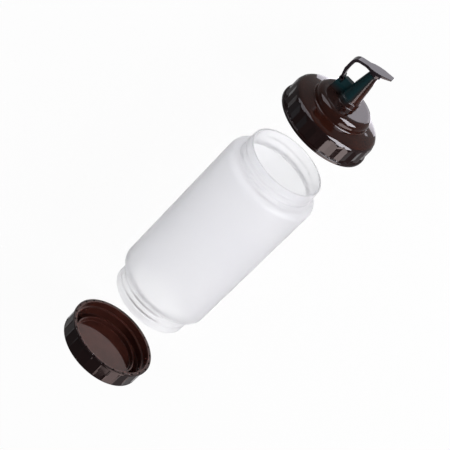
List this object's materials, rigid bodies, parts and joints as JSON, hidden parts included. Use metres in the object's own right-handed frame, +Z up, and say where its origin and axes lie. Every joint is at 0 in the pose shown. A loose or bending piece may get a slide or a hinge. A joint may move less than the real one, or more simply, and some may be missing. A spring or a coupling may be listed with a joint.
{
  "type": "sauce squeeze bottle",
  "caption": "Clear squeeze bottle lying on its side, open and threaded at both ends, with its refill cap and its spout cap with hinged tip arm laid in line.",
  "frame": {"origin": "on the surface the row lies on, under the middle of the row", "axes": "+X along the bottle's axis, towards the spout; +Z up"},
  "size_m": [0.3118, 0.0713, 0.0712],
  "materials": {
    "bottle": "translucent frosted polyethylene",
    "cap": "glossy dark brown polypropylene",
    "pin": "glossy dark brown polypropylene"
  },
  "bodies": {
    "bottle": {"bottle_body": "bottle", "refill_cap": "cap", "dispensing_cap": "cap", "hinge_pin": "pin"},
    "arm": {"tip_arm": "cap"}
  },
  "joints": [
    {"name": "arm_hinge", "type": "hinge", "parent": "bottle", "child": "arm", "pos_m": [0.13161, 0.0137, 0.03445], "axis": [0, 0, 1], "range_deg": [0, 90]}
  ]
}
